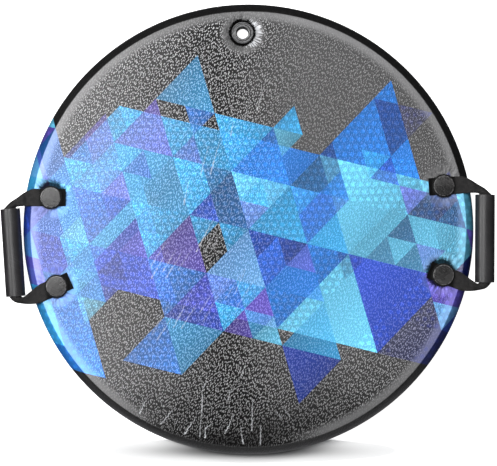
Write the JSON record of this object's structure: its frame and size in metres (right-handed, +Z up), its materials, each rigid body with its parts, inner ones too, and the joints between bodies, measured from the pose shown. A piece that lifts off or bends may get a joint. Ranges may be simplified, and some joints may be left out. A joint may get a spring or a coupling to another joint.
{
  "type": "saucer sled",
  "caption": "Round padded foam snow sled with a slick base, a printed top skin, a tow-rope grommet and riveted webbing handles with turning grip tubes.",
  "frame": {"origin": "middle of the slick base's flat underside, which rests on the ground", "axes": "+Z up out of the printed top, +X towards the right handle, +Y towards the tow-rope grommet"},
  "size_m": [0.7216, 0.66, 0.0424],
  "materials": {
    "slick_sheet": "satin",
    "white_foam": "matte",
    "printed_skin": "satin",
    "grommet_plastic": "satin",
    "ring_plastic": "satin",
    "left_upper_cap_plastic": "satin",
    "left_upper_stud_plastic": "satin",
    "left_upper_washer_rubber": "matte",
    "left_upper_tab_webbing": "matte",
    "left_lower_cap_plastic": "satin",
    "left_lower_stud_plastic": "satin",
    "left_lower_washer_rubber": "matte",
    "left_lower_tab_webbing": "matte",
    "left_loop_webbing": "matte",
    "left_grip_plastic": "matte",
    "right_upper_cap_plastic": "satin",
    "right_upper_stud_plastic": "satin",
    "right_upper_washer_rubber": "matte",
    "right_upper_tab_webbing": "matte",
    "right_lower_cap_plastic": "satin",
    "right_lower_stud_plastic": "satin",
    "right_lower_washer_rubber": "matte",
    "right_lower_tab_webbing": "matte",
    "right_loop_webbing": "matte",
    "right_grip_plastic": "matte"
  },
  "bodies": {
    "disc": {"slick_base": "slick_sheet", "foam_core": "white_foam", "top_skin": "printed_skin", "grommet_front": "grommet_plastic", "grommet_back_ring": "ring_plastic", "left_upper_rivet_cap": "left_upper_cap_plastic", "left_upper_rivet_stud": "left_upper_stud_plastic", "left_upper_strap_washer": "left_upper_washer_rubber", "left_upper_strap_tab": "left_upper_tab_webbing", "left_lower_rivet_cap": "left_lower_cap_plastic", "left_lower_rivet_stud": "left_lower_stud_plastic", "left_lower_strap_washer": "left_lower_washer_rubber", "left_lower_strap_tab": "left_lower_tab_webbing", "right_upper_rivet_cap": "right_upper_cap_plastic", "right_upper_rivet_stud": "right_upper_stud_plastic", "right_upper_strap_washer": "right_upper_washer_rubber", "right_upper_strap_tab": "right_upper_tab_webbing", "right_lower_rivet_cap": "right_lower_cap_plastic", "right_lower_rivet_stud": "right_lower_stud_plastic", "right_lower_strap_washer": "right_lower_washer_rubber", "right_lower_strap_tab": "right_lower_tab_webbing"},
    "left_handle": {"left_strap_loop": "left_loop_webbing"},
    "left_grip": {"left_grip": "left_grip_plastic"},
    "right_handle": {"right_strap_loop": "right_loop_webbing"},
    "right_grip": {"right_grip": "right_grip_plastic"}
  },
  "joints": [
    {"name": "left_handle_fold", "type": "hinge", "parent": "disc", "child": "left_handle", "pos_m": [-0.30583, -0.01068, 0.035], "axis": [-0.0349, 0.9994, 0], "range_deg": [0, 135]},
    {"name": "left_grip_spin", "type": "hinge", "parent": "left_handle", "child": "left_grip", "pos_m": [-0.34439, -0.02353, 0.0282], "axis": [-0.0349, 0.9994, 0], "continuous": true},
    {"name": "right_handle_fold", "type": "hinge", "parent": "disc", "child": "right_handle", "pos_m": [0.30583, -0.01068, 0.035], "axis": [-0.0349, -0.9994, 0], "range_deg": [0, 135]},
    {"name": "right_grip_spin", "type": "hinge", "parent": "right_handle", "child": "right_grip", "pos_m": [0.34439, -0.02353, 0.0282], "axis": [-0.0349, -0.9994, 0], "continuous": true}
  ]
}
